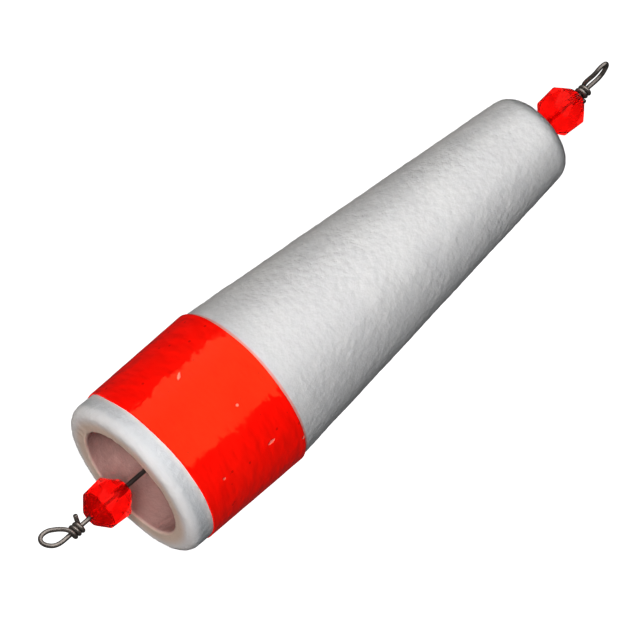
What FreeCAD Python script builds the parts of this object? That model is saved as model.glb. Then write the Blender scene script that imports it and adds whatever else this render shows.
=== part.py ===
import FreeCAD, Part
import os
from math import cos, pi, radians, sin

from FreeCAD import Vector

# Sliding foam float with a cupped mouth, threaded on a stiff wire between two faceted beads.
# The model is made about the wire's own axis, with the mouth plane at z = 0 and the mouth facing
# +Z. At the end every piece is moved so that the origin is the seat of the line eye: the inside of
# its crown, where a knot or snap pulls. All lengths are in millimetres.

# Foam body, from the mouth plane down to the narrow end
FOAM_LENGTH = 95.0
MOUTH_RADIUS = 14.85
LAND_RADIUS = 15.0
LAND_END = 25.1
CONE_END_RADIUS = 8.1
NARROW_END_ROUND = 3.4
MOUTH_OUTER_ROUND = 1.9
MOUTH_INNER_ROUND = 0.6

# Cup in the wide end
CUP_MOUTH_RADIUS = 10.2
CUP_FLOOR_RADIUS = 9.4
CUP_DEPTH = 16.0
CUP_FLOOR_ROUND = 3.5

# Paint coat round the land
BAND_START = 4.0
BAND_THICKNESS_AT_MOUTH = 0.15
BAND_THICKNESS_AT_LAND_END = 0.27

# Tube that lines the float's bore
LINER_RADIUS = 1.2
LINER_BORE_RADIUS = 0.65
LINER_PROUD_OF_CUP_FLOOR = 0.3
LINER_PROUD_OF_NARROW_END = 1.6
RUNNING_CLEARANCE = 0.05

# Faceted beads
BEAD_WIDTH = 7.7
BEAD_HOLE_RADIUS = 0.5
BEAD_SIDES = 8
BEAD_RING_LATITUDES = (66.0, 25.0, -25.0, -66.0)
LINE_BEAD_HEIGHT = 4.85
BEAD_GAP = 0.05

# Stainless wire and its two wrapped eyes
WIRE_DIAMETER = 0.75
WRAP_GAP = 0.05
EYE_LENGTH = 5.0
EYE_WIDTH = 2.55
EYE_WIDEST_AT = 0.6
EYE_LEAN = 30.0
WRAP_START_BELOW_EYE = 0.3
LINE_EYE_BASE = 13.1
LINE_EYE_TURNS = 2.6
LINE_EYE_TAG = 1.8
LEADER_EYE_TURNS = 2.3
LEADER_EYE_TAG = 1.2
LEADER_EYE_ROTATION = -66.0
LEADER_BEAD_TO_WRAPS = 0.25

# Lengths that follow from the ones above
WIRE_RADIUS = WIRE_DIAMETER / 2
WRAP_RADIUS = WIRE_DIAMETER + WRAP_GAP
WRAP_PITCH = WIRE_DIAMETER + WRAP_GAP
BEAD_CORNER_RADIUS = BEAD_WIDTH / 2 / cos(radians(BEAD_RING_LATITUDES[1]))
BEAD_HALF_LENGTH = BEAD_CORNER_RADIUS * sin(radians(BEAD_RING_LATITUDES[0]))
LINER_BOTTOM = -FOAM_LENGTH - LINER_PROUD_OF_NARROW_END
LEADER_BEAD_HEIGHT = LINER_BOTTOM - BEAD_GAP - BEAD_HALF_LENGTH
LEADER_WRAP_HEIGHT = LEADER_EYE_TURNS * WRAP_PITCH + WRAP_START_BELOW_EYE + WIRE_RADIUS
LEADER_EYE_BASE = LEADER_BEAD_HEIGHT - BEAD_HALF_LENGTH - LEADER_BEAD_TO_WRAPS - LEADER_WRAP_HEIGHT

UP = Vector(0, 0, 1)
AXIS_START = Vector(0, 0, 0)


def revolve(outline):
    """Turn a closed outline of (radius, height) points round the wire's axis into a solid."""
    corners = [Vector(radius, 0, height) for radius, height in outline]
    face = Part.Face(Part.makePolygon(corners + corners[:1]))
    return face.revolve(AXIS_START, UP, 360)


def round_rim(solid, radius, height, rounding):
    """Round the circular edge of this radius at this height."""
    for edge in solid.Edges:
        curve = edge.Curve
        if not isinstance(curve, Part.Circle):
            continue
        if abs(curve.Radius - radius) < 1e-4 and abs(curve.Center.z - height) < 1e-4:
            return solid.makeFillet(rounding, [edge])
    raise ValueError(f"no circular edge of radius {radius} at height {height}")


def make_foam_body():
    """Short cylinder and long cone with a cup in the wide end and a bore for the liner."""
    bore = LINER_RADIUS + RUNNING_CLEARANCE
    foam = revolve([
        (bore, -CUP_DEPTH),
        (CUP_FLOOR_RADIUS, -CUP_DEPTH),
        (CUP_MOUTH_RADIUS, 0),
        (MOUTH_RADIUS, 0),
        (LAND_RADIUS, -LAND_END),
        (CONE_END_RADIUS, -FOAM_LENGTH),
        (bore, -FOAM_LENGTH),
    ])
    foam = round_rim(foam, MOUTH_RADIUS, 0, MOUTH_OUTER_ROUND)
    foam = round_rim(foam, CUP_MOUTH_RADIUS, 0, MOUTH_INNER_ROUND)
    foam = round_rim(foam, CUP_FLOOR_RADIUS, -CUP_DEPTH, CUP_FLOOR_ROUND)
    return round_rim(foam, CONE_END_RADIUS, -FOAM_LENGTH, NARROW_END_ROUND)


def make_paint_band():
    """Thin sleeve of paint on the foam's land, thicker where the dip line ends."""
    start_radius = MOUTH_RADIUS + (LAND_RADIUS - MOUTH_RADIUS) * BAND_START / LAND_END
    return revolve([
        (start_radius, -BAND_START),
        (start_radius + BAND_THICKNESS_AT_MOUTH, -BAND_START),
        (LAND_RADIUS + BAND_THICKNESS_AT_LAND_END, -LAND_END),
        (LAND_RADIUS, -LAND_END),
    ])


def make_liner_tube():
    """Plastic tube from just above the cup's floor to a little past the narrow end."""
    top = -CUP_DEPTH + LINER_PROUD_OF_CUP_FLOOR
    return revolve([
        (LINER_BORE_RADIUS, top),
        (LINER_RADIUS, top),
        (LINER_RADIUS, LINER_BOTTOM),
        (LINER_BORE_RADIUS, LINER_BOTTOM),
    ])


def bead_ring(ring):
    """Corners of one ring of the bead; each ring is turned half a facet from the one above."""
    latitude = radians(BEAD_RING_LATITUDES[ring])
    corners = []
    for side in range(BEAD_SIDES):
        angle = 2 * pi * (side + 0.5 * (ring % 2)) / BEAD_SIDES
        reach = BEAD_CORNER_RADIUS * cos(latitude)
        height = BEAD_CORNER_RADIUS * sin(latitude)
        corners.append(Vector(reach * cos(angle), reach * sin(angle), height))
    return corners


def flat_face(corners):
    return Part.Face(Part.makePolygon(corners + corners[:1]))


def make_bead(height):
    """Faceted bead with a hole along the wire's axis, its centre at this height."""
    rings = [bead_ring(ring) for ring in range(len(BEAD_RING_LATITUDES))]
    faces = [flat_face(rings[0]), flat_face(rings[-1])]
    for ring, (upper, lower) in enumerate(zip(rings, rings[1:])):
        shift = ring % 2
        for side in range(BEAD_SIDES):
            after = (side + 1) % BEAD_SIDES
            lower_corner = lower[(side + shift) % BEAD_SIDES]
            faces.append(flat_face([upper[side], upper[after], lower_corner]))
            lower_after = lower[(side + shift + 1) % BEAD_SIDES]
            faces.append(flat_face([upper[after], lower_after, lower_corner]))
    bead = Part.Solid(Part.makeShell(faces))
    hole = Part.makeCylinder(BEAD_HOLE_RADIUS, BEAD_WIDTH * 2, Vector(0, 0, -BEAD_WIDTH))
    bead = bead.cut(hole)
    bead.translate(Vector(0, 0, height))
    return bead


def arc_in_corner(start, corner, end):
    """Arc from start to end that is tangent to the two equal sides that meet at corner."""
    half_turn = (corner - start).getAngle(end - corner) / 2
    chord_middle = (start + end) / 2
    if half_turn < 1e-4:
        return Part.LineSegment(start, end).toShape()
    middle = chord_middle + (corner - chord_middle) * (cos(half_turn) / (1 + cos(half_turn)))
    return Part.Arc(start, middle, end).toShape()


def biarc(start, start_way, end, end_way):
    """Two arcs that leave start along start_way, meet smoothly, and reach end along end_way."""
    span = end - start
    ways = start_way + end_way
    spread = 2 * (1 - start_way.dot(end_way))
    along = span.dot(ways)
    if spread < 1e-9:
        reach = span.dot(span) / (2 * along)
    else:
        reach = (-along + (along * along + spread * span.dot(span)) ** 0.5) / spread
    first_corner = start + start_way * reach
    second_corner = end - end_way * reach
    meeting = (first_corner + second_corner) / 2
    return [
        arc_in_corner(start, first_corner, meeting),
        arc_in_corner(meeting, second_corner, end),
    ]


def smooth_run(stations):
    """Biarcs through a list of (point, direction) stations."""
    edges = []
    for (start, start_way), (end, end_way) in zip(stations, stations[1:]):
        edges += biarc(start, start_way, end, end_way)
    return edges


def wrap_station(turned):
    """Place and direction on the wraps, this many radians after their start, going down."""
    angle = -pi / 2 - turned
    height = -WRAP_START_BELOW_EYE - WRAP_PITCH * turned / (2 * pi)
    place = Vector(WRAP_RADIUS * cos(angle), WRAP_RADIUS * sin(angle), height)
    way = Vector(WRAP_RADIUS * sin(angle), -WRAP_RADIUS * cos(angle), -WRAP_PITCH / (2 * pi))
    return place, way.normalize()


def eye_stations():
    """Stations round the eye from its base, up the side in line with the wire, and back down."""
    lean = radians(EYE_LEAN)
    outward = Vector(sin(lean), 0, cos(lean))
    across = Vector(cos(lean), 0, -sin(lean))
    middle = outward * (EYE_WIDEST_AT * EYE_LENGTH)
    return [
        (Vector(0, 0, 0), UP),
        (middle - across * (EYE_WIDTH / 2), outward),
        (outward * EYE_LENGTH, across),
        (middle + across * (EYE_WIDTH / 2), -outward),
    ]


def wrapped_eye(turns, tag_length):
    """Edges of an eye at the top of the wire, from its base round to the cut end of its tag."""
    steps = round(turns * 4)
    wraps = [wrap_station(2 * pi * turns * step / steps) for step in range(steps + 1)]
    edges = smooth_run(eye_stations() + wraps)
    place, way = wraps[-1]
    edges.append(Part.LineSegment(place, place + way * tag_length).toShape())
    return edges


def make_through_wire():
    """One length of wire: a wrapped eye, the straight run through the float, and another eye."""
    line_eye = wrapped_eye(LINE_EYE_TURNS, LINE_EYE_TAG)
    for edge in line_eye:
        edge.translate(Vector(0, 0, LINE_EYE_BASE))
    leader_eye = wrapped_eye(LEADER_EYE_TURNS, LEADER_EYE_TAG)
    for edge in leader_eye:
        edge.rotate(AXIS_START, Vector(1, 0, 0), 180)
        edge.rotate(AXIS_START, UP, LEADER_EYE_ROTATION)
        edge.translate(Vector(0, 0, LEADER_EYE_BASE))
    shaft = Part.LineSegment(Vector(0, 0, LEADER_EYE_BASE), Vector(0, 0, LINE_EYE_BASE)).toShape()
    path = Part.Wire(leader_eye[::-1] + [shaft] + line_eye)
    tag_end, tag_way = cut_end(leader_eye[-1])
    section = Part.Wire(Part.makeCircle(WIRE_RADIUS, tag_end, tag_way))
    wire = path.makePipeShell([section], True, False)
    expected = pi * WIRE_RADIUS ** 2 * path.Length
    print(f"wire length {path.Length:.2f}, volume {wire.Volume:.3f}, section by length {expected:.3f}")
    return wire


def cut_end(tag):
    """Free end of a tag's edge, and the direction from there back along the wire."""
    near, far = tag.Vertexes[0].Point, tag.Vertexes[-1].Point
    return far, (near - far).normalize()


def eye_seat():
    """Inside of the line eye's crown, where the line pulls."""
    lean = radians(EYE_LEAN)
    seat_reach = EYE_LENGTH - WIRE_RADIUS
    return Vector(seat_reach * sin(lean), 0, LINE_EYE_BASE + seat_reach * cos(lean))


def main():
    pieces = {
        "foam_body": make_foam_body(),
        "paint_band": make_paint_band(),
        "liner_tube": make_liner_tube(),
        "through_wire": make_through_wire(),
        "line_bead": make_bead(LINE_BEAD_HEIGHT),
        "leader_bead": make_bead(LEADER_BEAD_HEIGHT),
    }
    os.makedirs("parts", exist_ok=True)
    for name, shape in pieces.items():
        shape.translate(-eye_seat())
        shape.exportStep(f"parts/{name}.step")
        box = shape.BoundBox
        print(f"{name}: valid {shape.isValid()}, {len(shape.Solids)} solid, {shape.Volume:.2f} mm3,"
              f" z {box.ZMin:.3f} to {box.ZMax:.3f}")


main()
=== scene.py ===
"""Looks of the sliding foam float: pebbled foam, dipped red paint, bright beads and twisted wire."""
from math import cos, exp, pi, radians, sin

import bmesh
import bpy
from mathutils import Matrix, Vector, noise


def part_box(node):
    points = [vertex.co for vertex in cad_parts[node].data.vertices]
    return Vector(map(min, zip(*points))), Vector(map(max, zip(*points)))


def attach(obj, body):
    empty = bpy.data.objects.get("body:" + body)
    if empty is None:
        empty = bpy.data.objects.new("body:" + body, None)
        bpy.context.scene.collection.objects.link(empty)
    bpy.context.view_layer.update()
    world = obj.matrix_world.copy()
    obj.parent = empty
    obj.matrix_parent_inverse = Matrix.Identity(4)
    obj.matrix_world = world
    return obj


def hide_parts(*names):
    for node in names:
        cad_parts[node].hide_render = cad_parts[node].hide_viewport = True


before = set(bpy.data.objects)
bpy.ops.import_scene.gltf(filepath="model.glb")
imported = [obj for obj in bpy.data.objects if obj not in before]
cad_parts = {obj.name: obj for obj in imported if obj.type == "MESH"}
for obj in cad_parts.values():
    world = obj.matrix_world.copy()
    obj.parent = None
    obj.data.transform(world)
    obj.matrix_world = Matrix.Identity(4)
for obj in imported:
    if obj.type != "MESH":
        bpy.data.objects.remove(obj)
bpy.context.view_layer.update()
MM = 0.001

# The wire's own axis, and heights along it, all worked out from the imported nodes
FOAM_LOW, FOAM_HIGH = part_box("foam_body")
BAND_LOW, BAND_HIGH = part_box("paint_band")
LINER_LOW, LINER_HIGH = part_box("liner_tube")
AXIS = Vector(((FOAM_LOW.x + FOAM_HIGH.x) / 2, (FOAM_LOW.y + FOAM_HIGH.y) / 2, 0))
UP = Vector((0, 0, 1))
MOUTH_Z = FOAM_HIGH.z
NARROW_Z = FOAM_LOW.z

# Foam body
LAND_RADIUS = (FOAM_HIGH.x - FOAM_LOW.x) / 2
MOUTH_RADIUS = LAND_RADIUS - 0.15 * MM
CONE_END_RADIUS = 8.1 * MM
NARROW_END_ROUND = 3.4 * MM
ARC_STEPS = 8
MOUTH_OUTER_ROUND = 1.9 * MM
MOUTH_INNER_ROUND = 0.6 * MM
CUP_MOUTH_RADIUS = 10.2 * MM
CUP_FLOOR_RADIUS = 9.4 * MM
CUP_FLOOR_ROUND = 3.5 * MM
CUP_DEPTH = 16.0 * MM
BORE_RADIUS = (LINER_HIGH.x - LINER_LOW.x) / 2 + 0.05 * MM
FOAM_SIDES = 300
FOAM_STEP = 0.33 * MM
FOAM_LUMP = 0.11 * MM
FOAM_LUMPS_PER_METRE = 170
FOAM_PEBBLE = 0.05 * MM
FOAM_PEBBLES_PER_METRE = 620

# Paint band
BAND_SIDES = 300
BAND_START_Z = BAND_HIGH.z
BAND_END_Z = BAND_LOW.z
BAND_RADIUS = (BAND_HIGH.x - BAND_LOW.x) / 2
BAND_THIN_RADIUS = BAND_RADIUS - 0.24 * MM
BAND_EDGE_ROUND = 0.14 * MM
BAND_CROOKED = 0.42 * MM
BAND_WANDER = 0.12 * MM
BAND_SHORT_SPOT = 1.1 * MM
BAND_SHORT_SPOT_SPREAD = 0.42
BAND_MOST_OVERRUN = 0.45 * MM
BAND_SINK = 0.35 * MM
BAND_LUMP = 0.07 * MM
BAND_LUMPS_PER_METRE = 190
BAND_LUMP_FADE = 0.1 * MM

# Nicks in the paint: angle round the wire and lean in degrees, the rest in millimetres
# (angle, distance below the mouth, half width, half length, lean)
NICKS = (
    (-58, 13.8, 0.36, 0.95, 40),
    (-96, 17.3, 0.34, 0.38, 0),
    (-130, 18.9, 0.38, 0.95, 5),
    (-128, 8.7, 0.32, 0.42, 0),
    (-146, 24.9, 0.40, 0.85, 30),
    (20, 11.5, 0.32, 0.70, 35),
    (95, 19.0, 0.38, 0.52, 0),
    (150, 9.5, 0.30, 0.80, -20),
)

# Wire
WIRE_RADIUS = 0.375 * MM
WIRE_SIDES = 20
WRAP_SPACING = 0.8 * MM
EYE_LENGTH = 5.0 * MM
EYE_WIDTH = 2.55 * MM
EYE_WIDEST_AT = 0.6
EYE_LEAN = radians(30)
WRAP_START_BELOW_EYE = 0.3 * MM
LINE_EYE_TURNS = 2.6
LINE_EYE_TAG = 1.8 * MM
LEADER_EYE_TURNS = 2.3
LEADER_EYE_TAG = 1.2 * MM
LEADER_EYE_ROTATION = radians(-66)
LINE_EYE_BASE_ABOVE_MOUTH = 13.1 * MM
LEADER_BEAD_GAP = 0.25 * MM
EYE_CURVE_STEPS = 14
WRAP_STEPS_PER_TURN = 28
CUT_END_EASE = 0.08 * MM
CUT_END_SIZE = 0.86

# Beads: facets round them, and the latitudes in degrees where the facets' corners lie
BEAD_SIDES = 8
BEAD_LATITUDES = (66, 25, -25, -66)
BEAD_HOLE_RADIUS = 0.5 * MM
BEAD_EDGE_EASE = 0.09 * MM

# How far the cup's painted shade and the lip's painted warm shade reach from the wire's axis before they
# fade out
CUP_SHADE_REACH = 10.6 * MM
CUP_SHADE_REACH_END = 11.2 * MM
LIP_REACH = 11.4 * MM
LIP_REACH_END = 13.4 * MM

# Paint's own glow, painted light: a steady red glow standing for its fluorescent pigment
PAINT_GLOW_STRENGTH = 0.21

# Bead index lower than real acrylic's 1.49, so that the wire shows through the facets
ACRYLIC_INDEX = 1.30
ACRYLIC_CLEARNESS = 0.82

# Colours of the foam, the paint, the wire, the beads and the liner
FOAM_WHITE = (0.755, 0.755, 0.755, 1)
FOAM_SHADE = (0.72, 0.72, 0.725, 1)
FOAM_GRAIN = (0.67, 0.67, 0.675, 1)
# Painted glints: bright specks put into the foam's colour
FOAM_PAINTED_GLINT = (0.93, 0.93, 0.94, 1)
# Painted shade on the bare rim, darker and cooler
RIM_PAINTED_SHADE = (0.60, 0.625, 0.65, 1)
# Painted warm shade on the lip's end face
LIP_PAINTED_WARM_SHADE = (0.58, 0.515, 0.46, 1)
# Painted shade in the cup's recess, pinkish brown, in a lighter and a darker tone
CUP_PAINTED_SHADE = (0.45, 0.315, 0.295, 1)
CUP_PAINTED_SHADE_DARK = (0.41, 0.285, 0.265, 1)
# A pale pink line on the foam along the paint's edge
PAINT_EDGE = (0.86, 0.42, 0.38, 1)
PAINT_RED = (0.86, 0.010, 0.003, 1)
PAINT_THIN_RED = (0.88, 0.016, 0.005, 1)
PINHOLE_RED = (0.30, 0.004, 0.003, 1)
NICK_PINK = (0.92, 0.42, 0.36, 1)
PAINT_GLOSS = (1.0, 0.50, 0.15, 1)
PAINT_GLOW = (1.0, 0.01, 0.003, 1)
STEEL_DULL = (0.16, 0.145, 0.135, 1)
STEEL_WORN = (0.27, 0.245, 0.225, 1)
ACRYLIC_RED = (0.80, 0.008, 0.006, 1)
ACRYLIC_CLOUD = (0.92, 0.020, 0.012, 1)
ACRYLIC_GLOSS = (1.0, 0.32, 0.26, 1)
TUBE_GREY = (0.66, 0.65, 0.62, 1)
TUBE_CLOUD = (0.78, 0.77, 0.74, 1)

# Camera: angle from the wire's axis, roll of the picture, and where it aims along the body
VIEW_TILT = radians(69.41)
VIEW_ROLL = radians(-130.78)
VIEW_DISTANCE = 0.8209
VIEW_LENS = 288.0
AIM_BELOW_MOUTH = 45.0 * MM
AIM_RIGHT = -2.40 * MM
AIM_UP = 0.08 * MM
PICTURE_GAMMA = 0.72

# Stage: how far the floor lies below the float, and the size of the floor and dome, in metres
FLOOR_BELOW = 1.5
STAGE_RADIUS = 4.0
STAGE_WHITE = 1.0
STAGE_SHADE = (0.90, 0.90, 0.90, 1)
STAGE_PALE = (0.92, 0.92, 0.92, 1)

# Lights
WHITE_LIGHT = (1.0, 1.0, 1.0)
CREAM_LIGHT = (1.0, 0.96, 0.90)
WARM_LIGHT = (1.0, 0.80, 0.68)
WORLD_COLOUR = (0.94, 0.97, 1.0, 1)
WORLD_STRENGTH = 0.08


def shade_smooth(mesh):
    mesh.polygons.foreach_set("use_smooth", [True] * len(mesh.polygons))


def new_piece(name, bm, body, slot, *nodes):
    """Object from a bmesh that rides on a body and stands for CAD nodes."""
    bmesh.ops.recalc_face_normals(bm, faces=bm.faces)
    mesh = bpy.data.meshes.new(name)
    bm.to_mesh(mesh)
    bm.free()
    shade_smooth(mesh)
    piece = bpy.data.objects.new(name, mesh)
    bpy.context.scene.collection.objects.link(piece)
    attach(piece, body)
    if nodes:
        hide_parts(*nodes)
    return piece


def rounded_outline(corners):
    """Points of an outline of (radius, height, rounding) corners, each rounding a true arc."""
    points = []
    count = len(corners)
    for index, (radius, height, rounding) in enumerate(corners):
        corner = Vector((radius, height))
        if rounding == 0:
            points.append(corner)
            continue
        before = Vector(corners[index - 1][:2]) - corner
        after = Vector(corners[(index + 1) % count][:2]) - corner
        half = before.angle(after) / 2
        middle_way = (before.normalized() + after.normalized()).normalized()
        centre = corner + middle_way * (rounding / sin(half))
        start = corner + before.normalized() * (rounding / (sin(half) / cos(half)))
        end = corner + after.normalized() * (rounding / (sin(half) / cos(half)))
        turn = (start - centre).angle_signed(end - centre)
        for step in range(ARC_STEPS + 1):
            spoke = start - centre
            spoke.rotate(Matrix.Rotation(-turn * step / ARC_STEPS, 2))
            points.append(centre + spoke)
    return points


def even_points(points, step):
    """The outline again as points about one step apart, keeping its length and its ends."""
    result = [points[0]]
    for start, end in zip(points, points[1:]):
        pieces = max(1, round((end - start).length / step))
        for piece in range(1, pieces + 1):
            result.append(start.lerp(end, piece / pieces))
    return result


def lathe(outline, sides, shape):
    """Closed ring mesh; shape(radius, height, angle, inward) gives each final point.

    inward is the outline's direction into the solid there, which lies on the right of its path.
    """
    bm = bmesh.new()
    rings = []
    for row, (radius, height) in enumerate(outline):
        along = (outline[(row + 1) % len(outline)] - outline[row - 1]).normalized()
        inward = Vector((along.y, -along.x))
        ring = []
        for side in range(sides):
            ring.append(bm.verts.new(shape(radius, height, 2 * pi * side / sides, inward)))
        rings.append(ring)
    for row, ring in enumerate(rings):
        below = rings[(row + 1) % len(rings)]
        for side in range(sides):
            after = (side + 1) % sides
            bm.faces.new((ring[side], ring[after], below[after], below[side]))
    return bm


def on_axis(radius, height, angle):
    return Vector((AXIS.x + radius * cos(angle), AXIS.y + radius * sin(angle), height))


def foam_outline():
    corners = [
        (BORE_RADIUS, MOUTH_Z - CUP_DEPTH, 0),
        (CUP_FLOOR_RADIUS, MOUTH_Z - CUP_DEPTH, CUP_FLOOR_ROUND),
        (CUP_MOUTH_RADIUS, MOUTH_Z, MOUTH_INNER_ROUND),
        (MOUTH_RADIUS, MOUTH_Z, MOUTH_OUTER_ROUND),
        (LAND_RADIUS, BAND_END_Z, 0),
        (CONE_END_RADIUS, NARROW_Z, NARROW_END_ROUND),
        (BORE_RADIUS, NARROW_Z, 0),
    ]
    return even_points(rounded_outline(corners), FOAM_STEP)


def pebble(place):
    """0 in the seams between the foam's beads, 1 on their crowns."""
    near, second = noise.voronoi(place * FOAM_PEBBLES_PER_METRE)[0][:2]
    return min(1.0, (second - near) * 2.2)


def foam_point(radius, height, angle, inward):
    """A point of the foam's skin, pressed in a little by lumps and by the seams between beads."""
    place = on_axis(radius, height, angle)
    lump = 0.5 + 0.5 * noise.fractal(place * FOAM_LUMPS_PER_METRE, 0.7, 2.0, 3)
    depth = FOAM_LUMP * lump + FOAM_PEBBLE * (1 - pebble(place))
    depth *= min(1.0, (radius - BORE_RADIUS) / MM)
    return on_axis(radius + inward.x * depth, height + inward.y * depth, angle)


def band_outline():
    """Section of the coat: it starts thin near the mouth and ends in a rounded lip."""
    inner = LAND_RADIUS - BAND_SINK
    corners = [
        (inner, BAND_START_Z, 0),
        (BAND_THIN_RADIUS, BAND_START_Z, BAND_EDGE_ROUND),
        (BAND_RADIUS, BAND_END_Z, BAND_EDGE_ROUND),
        (inner, BAND_END_Z, 0),
    ]
    return even_points(rounded_outline(corners), FOAM_STEP)


def band_point(radius, height, angle, inward):
    """A point of the coat: its mouth edge is crooked and short towards +X, and both edges wander."""
    reach = (height - BAND_END_Z) / (BAND_START_Z - BAND_END_Z)
    ring = Vector((cos(angle), sin(angle), 0))
    from_short_spot = (angle + pi) % (2 * pi) - pi
    start_drift = BAND_CROOKED * cos(angle) - BAND_CROOKED * 0.2
    start_drift -= BAND_SHORT_SPOT * exp(-(from_short_spot / BAND_SHORT_SPOT_SPREAD) ** 2)
    start_drift += BAND_WANDER * noise.noise(ring * 2.3 + Vector((0, 0, 7)))
    end_drift = BAND_WANDER * 0.6 * (noise.noise(ring * 2.0) + 0.8)
    moved = height + reach * min(BAND_MOST_OVERRUN, start_drift) + (1 - reach) * end_drift
    place = on_axis(radius, moved, angle)
    outside = max(0.0, min(1.0, (radius - LAND_RADIUS + BAND_LUMP_FADE) / BAND_LUMP_FADE))
    lump = 0.5 + 0.5 * noise.fractal(place * BAND_LUMPS_PER_METRE, 0.8, 2.0, 3)
    return on_axis(radius - outside * BAND_LUMP * lump, moved, angle)


def hermite(start, start_way, end, end_way, amount):
    """Point part of the way along a smooth curve between two places with given directions."""
    span = (end - start).length
    square, cube = amount ** 2, amount ** 3
    return (start * (2 * cube - 3 * square + 1) + start_way * (span * (cube - 2 * square + amount))
            + end * (3 * square - 2 * cube) + end_way * (span * (cube - square)))


def wrap_station(turned):
    """Place and direction on the wraps, this many radians after their start, going down."""
    angle = -pi / 2 - turned
    height = -WRAP_START_BELOW_EYE - WRAP_SPACING * turned / (2 * pi)
    place = Vector((WRAP_SPACING * cos(angle), WRAP_SPACING * sin(angle), height))
    way = Vector((sin(angle), -cos(angle), -1 / (2 * pi)))
    return place, way.normalized()


def eye_stations():
    """Stations round an eye from its base, up the side in line with the wire, and back down."""
    outward = Vector((sin(EYE_LEAN), 0, cos(EYE_LEAN)))
    across = Vector((cos(EYE_LEAN), 0, -sin(EYE_LEAN)))
    middle = outward * (EYE_WIDEST_AT * EYE_LENGTH)
    return [
        (Vector((0, 0, 0)), UP),
        (middle - across * (EYE_WIDTH / 2), outward),
        (outward * EYE_LENGTH, across),
        (middle + across * (EYE_WIDTH / 2), -outward),
        wrap_station(0),
    ]


def eye_path(turns, tag_length):
    """Points of an eye at the top of the wire, from its base round to the cut end of its tag."""
    stations = eye_stations()
    points = []
    for (start, start_way), (end, end_way) in zip(stations, stations[1:]):
        for step in range(EYE_CURVE_STEPS):
            points.append(hermite(start, start_way, end, end_way, step / EYE_CURVE_STEPS))
    steps = round(turns * WRAP_STEPS_PER_TURN)
    points += [wrap_station(2 * pi * turns * step / steps)[0] for step in range(steps + 1)]
    place, way = wrap_station(2 * pi * turns)
    points += [place + way * (tag_length * part) for part in (0.3, 0.65, 1.0)]
    return points


def wire_path():
    """The whole wire, from the leader tag's cut end to the line tag's cut end."""
    top = Vector((AXIS.x, AXIS.y, MOUTH_Z + LINE_EYE_BASE_ABOVE_MOUTH))
    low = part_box("leader_bead")[0]
    wraps = LEADER_EYE_TURNS * WRAP_SPACING + WRAP_START_BELOW_EYE + WIRE_RADIUS
    bottom = Vector((AXIS.x, AXIS.y, low.z - LEADER_BEAD_GAP - wraps))
    flip = Matrix.Rotation(LEADER_EYE_ROTATION, 3, "Z") @ Matrix.Rotation(pi, 3, "X")
    leader = [bottom + flip @ point for point in eye_path(LEADER_EYE_TURNS, LEADER_EYE_TAG)]
    line = [top + point for point in eye_path(LINE_EYE_TURNS, LINE_EYE_TAG)]
    return leader[::-1] + line


def sweep_tube(path, radius, sides):
    """Round tube along a path, its section carried on without twisting, its cut ends eased."""
    before = [path[0]] + path[:-1]
    after = path[1:] + [path[-1]]
    ways = [(end - start).normalized() for start, end in zip(before, after)]
    bm = bmesh.new()
    side_way = ways[0].orthogonal().normalized()
    rings = []
    for index, (place, way) in enumerate(zip(path, ways)):
        side_way = (side_way - way * side_way.dot(way)).normalized()
        other_way = way.cross(side_way)
        size = radius * (CUT_END_SIZE if index in (0, len(path) - 1) else 1.0)
        ring = []
        for side in range(sides):
            angle = 2 * pi * side / sides
            ring.append(bm.verts.new(place + (side_way * cos(angle) + other_way * sin(angle)) * size))
        rings.append(ring)
    for ring, next_ring in zip(rings, rings[1:]):
        for side in range(sides):
            beside = (side + 1) % sides
            bm.faces.new((ring[side], ring[beside], next_ring[beside], next_ring[side]))
    bm.faces.new(rings[0][::-1])
    bm.faces.new(rings[-1])
    return bm


def make_wire():
    """The wire in one piece, with a point close to each cut end so that only the end is eased."""
    path = wire_path()
    path.insert(1, path[0].lerp(path[1], CUT_END_EASE / (path[1] - path[0]).length))
    path.insert(-1, path[-1].lerp(path[-2], CUT_END_EASE / (path[-1] - path[-2]).length))
    tube = sweep_tube(path, WIRE_RADIUS, WIRE_SIDES)
    return new_piece("spring_wire", tube, "wire", "wire", "through_wire")


def bead_rings(low, high):
    """The facets' corners, ring by ring from the top; every second ring is turned half a facet."""
    half = (high.z - low.z) / 2
    corner_radius = half / sin(radians(BEAD_LATITUDES[0]))
    rings = []
    for row, latitude in enumerate(BEAD_LATITUDES):
        reach = corner_radius * cos(radians(latitude))
        height = (low.z + high.z) / 2 + corner_radius * sin(radians(latitude))
        turn = 0.5 * (row % 2)
        angles = [2 * pi * (side + turn) / BEAD_SIDES for side in range(BEAD_SIDES)]
        rings.append([on_axis(reach, height, angle) for angle in angles])
    return rings


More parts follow.
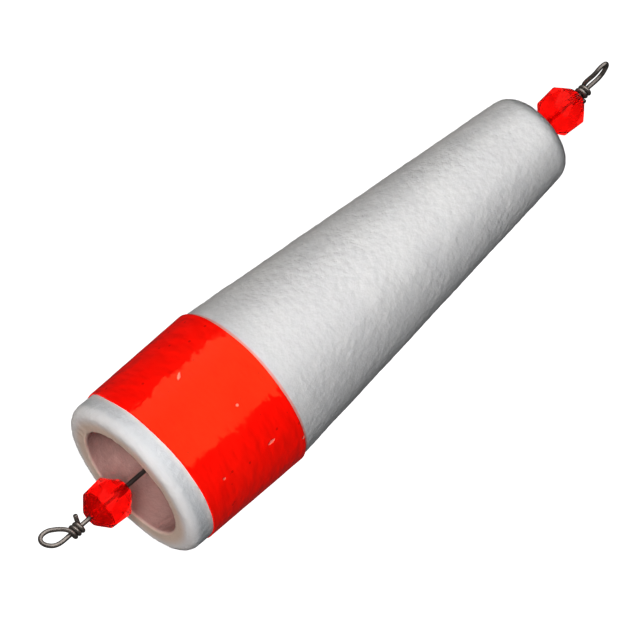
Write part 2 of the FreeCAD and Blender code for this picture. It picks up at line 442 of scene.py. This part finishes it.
def make_bead(name, node):
    """Faceted bead with eased facet edges and an open hole."""
    low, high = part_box(node)
    bm = bmesh.new()
    rings = [[bm.verts.new(point) for point in ring] for ring in bead_rings(low, high)]
    for row, (upper, lower) in enumerate(zip(rings, rings[1:])):
        shift = row % 2
        for side in range(BEAD_SIDES):
            after = (side + 1) % BEAD_SIDES
            here = lower[(side + shift) % BEAD_SIDES]
            bm.faces.new((upper[side], upper[after], here))
            bm.faces.new((upper[after], lower[(side + shift + 1) % BEAD_SIDES], here))
    facet_edges = list(bm.edges)
    hole = 2 * BEAD_SIDES
    holes = []
    for end, height in ((0, high.z), (-1, low.z)):
        turn = 1 if end else 0
        places = [on_axis(BEAD_HOLE_RADIUS, height, 2 * pi * side / hole) for side in range(hole)]
        ring = [bm.verts.new(place) for place in places]
        for side in range(BEAD_SIDES):
            first = 2 * side + turn
            inner = [ring[(first + step) % hole] for step in (2, 1, 0)]
            bm.faces.new([rings[end][side], rings[end][(side + 1) % BEAD_SIDES]] + inner)
        holes.append(ring)
    for side in range(hole):
        after = (side + 1) % hole
        bm.faces.new((holes[0][side], holes[0][after], holes[1][after], holes[1][side]))
    bmesh.ops.bevel(bm, geom=facet_edges, offset=BEAD_EDGE_EASE, segments=1, affect="EDGES")
    piece = new_piece(name, bm, node, "bead", node)
    piece.data.polygons.foreach_set("use_smooth", [False] * len(piece.data.polygons))
    return piece


class Shader:
    """A material's node tree, with short ways to add nodes and join them."""

    def __init__(self, name):
        self.material = bpy.data.materials.new(name)
        self.material.use_nodes = True
        self.tree = self.material.node_tree
        self.surface = self.tree.nodes["Principled BSDF"]
        self.place = self.add("ShaderNodeTexCoord").outputs["Object"]

    def add(self, kind, **settings):
        node = self.tree.nodes.new(kind)
        for name, value in settings.items():
            setattr(node, name, value)
        return node

    def feed(self, node, **inputs):
        """Set or join a node's inputs, by name with _ for a space, or by number as _0, _1 and so on."""
        for name, value in inputs.items():
            key = int(name[1:]) if name[1:].isdigit() else name.replace("_", " ")
            socket = node.inputs[key]
            if isinstance(value, bpy.types.NodeSocket):
                self.tree.links.new(value, socket)
            else:
                socket.default_value = value
        return node

    def noise(self, scale, detail=3.0, roughness=0.5, place=None):
        """Soft noise from 0 to 1, its largest lumps about 1 / scale metres apart."""
        node = self.add("ShaderNodeTexNoise")
        self.feed(node, Vector=place or self.place, Scale=scale, Detail=detail, Roughness=roughness)
        return node.outputs["Fac"]

    def cells(self, scale, feature="F1"):
        """Distance to the nearest of many points, which lie about 1 / scale metres apart."""
        node = self.add("ShaderNodeTexVoronoi", feature=feature)
        self.feed(node, Vector=self.place, Scale=scale)
        return node.outputs["Distance"]

    def between(self, value, low, high, to_low=0.0, to_high=1.0):
        """Map a value smoothly from one range to another, held at the ends."""
        node = self.add("ShaderNodeMapRange", interpolation_type="SMOOTHSTEP")
        self.feed(node, _0=value, _1=low, _2=high, _3=to_low, _4=to_high)
        return node.outputs[0]

    def math(self, operation, first, second=0.0):
        node = self.add("ShaderNodeMath", operation=operation)
        self.feed(node, _0=first, _1=second)
        return node.outputs[0]

    def mix(self, amount, first, second):
        node = self.add("ShaderNodeMix", data_type="RGBA")
        self.feed(node, _0=amount, _6=first, _7=second)
        return node.outputs[2]

    def bump(self, height, distance, strength=1.0, under=None):
        node = self.add("ShaderNodeBump")
        self.feed(node, Height=height, Distance=distance, Strength=strength)
        if under:
            self.feed(node, Normal=under)
        return node.outputs["Normal"]

    def height_and_reach(self):
        """Sockets for the height along the wire, and for the distance from the wire's axis."""
        moved = self.add("ShaderNodeVectorMath", operation="SUBTRACT")
        self.feed(moved, _0=self.place, _1=(AXIS.x, AXIS.y, 0))
        parts = self.feed(self.add("ShaderNodeSeparateXYZ"), _0=moved.outputs[0])
        flat = self.feed(self.add("ShaderNodeCombineXYZ"), _0=parts.outputs[0], _1=parts.outputs[1])
        reach = self.feed(self.add("ShaderNodeVectorMath", operation="LENGTH"), _0=flat.outputs[0])
        return parts.outputs[2], reach.outputs["Value"]


def foam_material():
    """White bead foam: faint mottling and grain, tiny painted glints, pinkish brown painted shade in the
    cup, painted shade on the bare rim, painted warm shade on the lip, a pale pink line at the paint's edge.
    """
    m = Shader("bead_foam")
    height, reach = m.height_and_reach()
    mottle = m.between(m.noise(120, 4, 0.6), 0.35, 0.65)
    colour = m.mix(mottle, FOAM_SHADE, FOAM_WHITE)
    grain = m.between(m.noise(1500, 3, 0.7), 0.42, 0.60, 0.0, 0.25)
    colour = m.mix(grain, colour, FOAM_GRAIN)
    # Painted glints: bright specks in the foam's colour; the same specks are also made less rough
    glint = m.between(m.cells(1500), 0.08, 0.2, 0.22, 0.0)
    colour = m.mix(glint, colour, FOAM_PAINTED_GLINT)
    # Painted shade in the cup's recess, pinkish brown, fading out over the mouth's inner rounding
    cup_shade_mask = m.math("MULTIPLY", m.between(reach, CUP_SHADE_REACH, CUP_SHADE_REACH_END, 1, 0),
                    m.between(height, MOUTH_Z - 0.6 * MM, MOUTH_Z, 1, 0))
    cup_bottom = MOUTH_Z - CUP_DEPTH - MM
    cup_shade_mask = m.math("MULTIPLY", cup_shade_mask, m.between(height, cup_bottom - MM, cup_bottom))
    cup_shade_colour = m.mix(mottle, CUP_PAINTED_SHADE_DARK, CUP_PAINTED_SHADE)
    # Painted shade: the bare rim between the paint and the mouth made darker and cooler
    bare_rim_shade = m.between(height, BAND_START_Z, BAND_START_Z + MM, 0.0, 0.7)
    colour = m.mix(bare_rim_shade, colour, RIM_PAINTED_SHADE)
    # Painted warm shade, darker and tan, on the lip's end face round the cup's mouth
    lip_shade_mask = m.math("MULTIPLY", m.between(reach, LIP_REACH, LIP_REACH_END, 1, 0),
                    m.between(height, MOUTH_Z - 0.6 * MM, MOUTH_Z - 0.25 * MM))
    colour = m.mix(lip_shade_mask, colour, LIP_PAINTED_WARM_SHADE)
    colour = m.mix(cup_shade_mask, colour, cup_shade_colour)
    # A pale pink line on the foam along the paint's edge towards the narrow end
    from_paint = m.math("ABSOLUTE", m.math("SUBTRACT", height, BAND_END_Z))
    at_paint = m.between(from_paint, 0.3 * MM, 0.6 * MM, 0.9, 0)
    colour = m.mix(at_paint, colour, PAINT_EDGE)
    rough = m.between(glint, 0.0, 0.22, 0.44, 0.25)
    normal = m.bump(m.noise(2000, 3, 0.6), 0.10 * MM, 0.7)
    normal = m.bump(m.noise(900, 2, 0.5), 0.12 * MM, 0.5, normal)
    normal = m.bump(m.cells(700, "SMOOTH_F1"), 0.10 * MM, 0.35, normal)
    m.feed(m.surface, Base_Color=colour, Roughness=rough, Normal=normal)
    m.surface.inputs["Subsurface Weight"].default_value = 0.08
    m.surface.inputs["Subsurface Radius"].default_value = (1.0, 0.95, 0.9)
    m.surface.inputs["Subsurface Scale"].default_value = 1.2 * MM
    m.surface.inputs["Specular IOR Level"].default_value = 0.34
    return m.material


def nick_mask(m, wobble, nick):
    """1 inside one nick and 0 outside it, with a ragged edge."""
    angle, below, half_width, half_length, lean = nick
    centre = on_axis(BAND_RADIUS, MOUTH_Z - below * MM, radians(angle))
    local = m.add("ShaderNodeMapping", vector_type="TEXTURE")
    m.feed(local, Vector=wobble, Location=centre, Rotation=(radians(lean), 0, radians(angle)),
           Scale=(MM, half_width * MM, half_length * MM))
    away = m.feed(m.add("ShaderNodeVectorMath", operation="LENGTH"), _0=local.outputs[0])
    return m.between(away.outputs["Value"], 0.6, 1.0, 1.0, 0.0)


def paint_material():
    """Glossy fluorescent red dip paint with a painted red glow, uneven round the body, with pinholes and
    pale nicks.
    """
    m = Shader("red_dip_paint")
    thin = m.between(m.noise(55, 4, 0.65), 0.42, 0.62)
    colour = m.mix(thin, PAINT_RED, PAINT_THIN_RED)
    pinhole = m.between(m.cells(420), 0.06, 0.15, 0.42, 0.0)
    colour = m.mix(pinhole, colour, PINHOLE_RED)
    drift = m.feed(m.add("ShaderNodeTexNoise"), Vector=m.place, Scale=1800, Detail=2)
    drift = m.feed(m.add("ShaderNodeVectorMath", operation="MULTIPLY_ADD"), _0=drift.outputs["Color"],
                   _1=(0.25 * MM,) * 3, _2=m.place)
    nicked = 0.0
    for nick in NICKS:
        nicked = m.math("MAXIMUM", nicked, nick_mask(m, drift.outputs[0], nick))
    colour = m.mix(m.math("MULTIPLY", nicked, 0.85), colour, NICK_PINK)
    rough = m.between(m.noise(260, 3, 0.6), 0.3, 0.7, 0.08, 0.16)
    around = m.feed(m.add("ShaderNodeVectorMath", operation="MULTIPLY"), _0=m.place, _1=(1.0, 1.0, 2.0))
    normal = m.bump(m.noise(300, 1.5, 0.45, around.outputs[0]), 0.34 * MM, 0.9)
    normal = m.bump(m.noise(1500, 2, 0.5), 0.02 * MM, 0.5, normal)
    normal = m.bump(m.math("MULTIPLY", nicked, -1.0), 0.12 * MM, 0.8, normal)
    m.feed(m.surface, Base_Color=colour, Roughness=rough, Normal=normal)
    m.surface.inputs["Specular Tint"].default_value = PAINT_GLOSS
    m.surface.inputs["Specular IOR Level"].default_value = 0.6
    # Painted light: a steady red glow from the paint itself
    m.surface.inputs["Emission Color"].default_value = PAINT_GLOW
    m.surface.inputs["Emission Strength"].default_value = PAINT_GLOW_STRENGTH
    return m.material


def wire_material():
    """Spring stainless wire, dull and darkened, worn brighter in places."""
    m = Shader("spring_steel")
    worn = m.between(m.noise(260, 3, 0.5), 0.35, 0.7)
    colour = m.mix(worn, STEEL_DULL, STEEL_WORN)
    rough = m.between(m.noise(900, 3, 0.5), 0.3, 0.7, 0.34, 0.48)
    normal = m.bump(m.noise(2600, 2, 0.5), 0.01 * MM, 0.15)
    m.feed(m.surface, Base_Color=colour, Roughness=rough, Normal=normal, Metallic=0.7)
    return m.material


def bead_material():
    """Clear red acrylic with faint clouds in its colour."""
    m = Shader("red_acrylic")
    cloud = m.between(m.noise(500, 3, 0.5), 0.3, 0.7)
    colour = m.mix(cloud, ACRYLIC_RED, ACRYLIC_CLOUD)
    rough = m.between(m.noise(1400, 2, 0.5), 0.3, 0.7, 0.03, 0.10)
    m.feed(m.surface, Base_Color=colour, Roughness=rough)
    m.surface.inputs["Transmission Weight"].default_value = ACRYLIC_CLEARNESS
    m.surface.inputs["IOR"].default_value = ACRYLIC_INDEX
    m.surface.inputs["Specular Tint"].default_value = ACRYLIC_GLOSS
    return m.material


def liner_material():
    """Cloudy polypropylene tube."""
    m = Shader("cloudy_tube")
    cloud = m.between(m.noise(700, 3, 0.5), 0.3, 0.7)
    colour = m.mix(cloud, TUBE_GREY, TUBE_CLOUD)
    rough = m.between(m.noise(1600, 2, 0.5), 0.3, 0.7, 0.35, 0.5)
    m.feed(m.surface, Base_Color=colour, Roughness=rough)
    m.surface.inputs["Subsurface Weight"].default_value = 0.3
    m.surface.inputs["Subsurface Scale"].default_value = 0.8 * MM
    return m.material


def cover(piece, material):
    piece.data.materials.clear()
    piece.data.materials.append(material)


def make_float():
    skin = lathe(foam_outline(), FOAM_SIDES, foam_point)
    cover(new_piece("foam_skin", skin, "float", "foam", "foam_body"), foam_material())
    coat = lathe(band_outline(), BAND_SIDES, band_point)
    cover(new_piece("dipped_paint", coat, "float", "red_paint", "paint_band"), paint_material())


def make_hardware():
    cover(make_wire(), wire_material())
    acrylic = bead_material()
    cover(make_bead("line_bead_faceted", "line_bead"), acrylic)
    cover(make_bead("leader_bead_faceted", "leader_bead"), acrylic)
    cover(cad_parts["liner_tube"], liner_material())


def stage_material():
    """Pale floor and dome that give their own light, so that they stay an even white."""
    m = Shader("pale_sweep")
    cloud = m.noise(2, 2, 0.5)
    colour = m.mix(cloud, STAGE_SHADE, STAGE_PALE)
    m.feed(m.surface, Base_Color=colour, Roughness=0.9)
    m.surface.inputs["Emission Color"].default_value = (1, 1, 1, 1)
    m.surface.inputs["Emission Strength"].default_value = STAGE_WHITE
    return m.material


def stage_piece(name, bm, material):
    """Part of the stage: seen directly and through the beads, but throwing no light on the float."""
    mesh = bpy.data.meshes.new(name)
    bm.to_mesh(mesh)
    bm.free()
    shade_smooth(mesh)
    piece = bpy.data.objects.new(name, mesh)
    bpy.context.scene.collection.objects.link(piece)
    cover(piece, material)
    piece.visible_diffuse = False
    piece.visible_glossy = False
    piece.visible_shadow = False


def make_stage():
    material = stage_material()
    floor = bmesh.new()
    bmesh.ops.create_circle(floor, cap_ends=True, segments=96, radius=STAGE_RADIUS)
    bmesh.ops.translate(floor, verts=floor.verts, vec=(0, 0, NARROW_Z - FLOOR_BELOW))
    stage_piece("floor", floor, material)
    dome = bmesh.new()
    bmesh.ops.create_uvsphere(dome, u_segments=64, v_segments=32, radius=STAGE_RADIUS)
    stage_piece("backdrop", dome, material)


def view_axes():
    """Right, up and forward of the picture, with the camera on the -Y side of the wire's axis."""
    forward = Vector((0, sin(VIEW_TILT), -cos(VIEW_TILT)))
    level_up = Vector((0, cos(VIEW_TILT), sin(VIEW_TILT)))
    level_right = Vector((1, 0, 0))
    right = level_right * cos(VIEW_ROLL) + level_up * sin(VIEW_ROLL)
    up = level_up * cos(VIEW_ROLL) - level_right * sin(VIEW_ROLL)
    return right, up, forward


def aim_point():
    right, up, forward = view_axes()
    return Vector((AXIS.x, AXIS.y, MOUTH_Z - AIM_BELOW_MOUTH)) + right * AIM_RIGHT + up * AIM_UP


def make_camera():
    right, up, forward = view_axes()
    data = bpy.data.cameras.new("camera")
    data.lens = VIEW_LENS
    data.sensor_width = 36.0
    data.clip_end = 20.0
    camera = bpy.data.objects.new("camera", data)
    turn = Matrix((right, up, -forward)).transposed().to_4x4()
    camera.matrix_world = Matrix.Translation(aim_point() - forward * VIEW_DISTANCE) @ turn
    bpy.context.scene.collection.objects.link(camera)
    bpy.context.scene.camera = camera


def make_light(name, around, mouthward, distance, size, watts, colour=WHITE_LIGHT, matte=True, gloss=False):
    """Soft rectangular light facing the float, seen in matte shading, in gloss or in both.

    around is its angle round the wire from the camera's side, and mouthward its angle towards the mouth.
    """
    level = cos(radians(mouthward))
    towards = Vector((sin(radians(around)) * level, -cos(radians(around)) * level, sin(radians(mouthward))))
    side_way = UP.cross(towards).normalized()
    data = bpy.data.lights.new(name, "AREA")
    data.shape = "RECTANGLE"
    data.size = size[0]
    data.size_y = size[1]
    data.energy = watts
    data.color = colour
    light = bpy.data.objects.new(name, data)
    turn = Matrix((side_way, towards.cross(side_way), towards)).transposed().to_4x4()
    light.matrix_world = Matrix.Translation(aim_point() + towards * distance) @ turn
    light.visible_diffuse = matte
    light.visible_glossy = gloss
    bpy.context.scene.collection.objects.link(light)


def make_lights():
    make_light("key", around=4, mouthward=26, distance=1.3, size=(0.5, 0.5), watts=17.6)
    make_light("left_fill", around=128, mouthward=0, distance=1.0, size=(0.6, 0.6), watts=4.6,
               colour=CREAM_LIGHT)
    make_light("right_fill", around=-125, mouthward=0, distance=1.0, size=(0.6, 0.6), watts=1.7)
    make_light("warm_fill", around=20, mouthward=75, distance=0.9, size=(0.4, 0.4), watts=2.6,
               colour=WARM_LIGHT)
    make_light("wide_panel", around=18.5, mouthward=-25, distance=1.0, size=(2.26, 1.8), watts=38.0,
               matte=False, gloss=True)


def make_world():
    world = bpy.data.worlds.new("studio")
    world.use_nodes = True
    world.node_tree.nodes["Background"].inputs["Color"].default_value = WORLD_COLOUR
    world.node_tree.nodes["Background"].inputs["Strength"].default_value = WORLD_STRENGTH
    bpy.context.scene.world = world


def set_tones():
    """Plain display tones, with one gamma over them."""
    bpy.context.scene.view_settings.view_transform = "Standard"
    bpy.context.scene.view_settings.gamma = PICTURE_GAMMA


make_float()
make_hardware()
make_stage()
make_camera()
make_lights()
make_world()
set_tones()
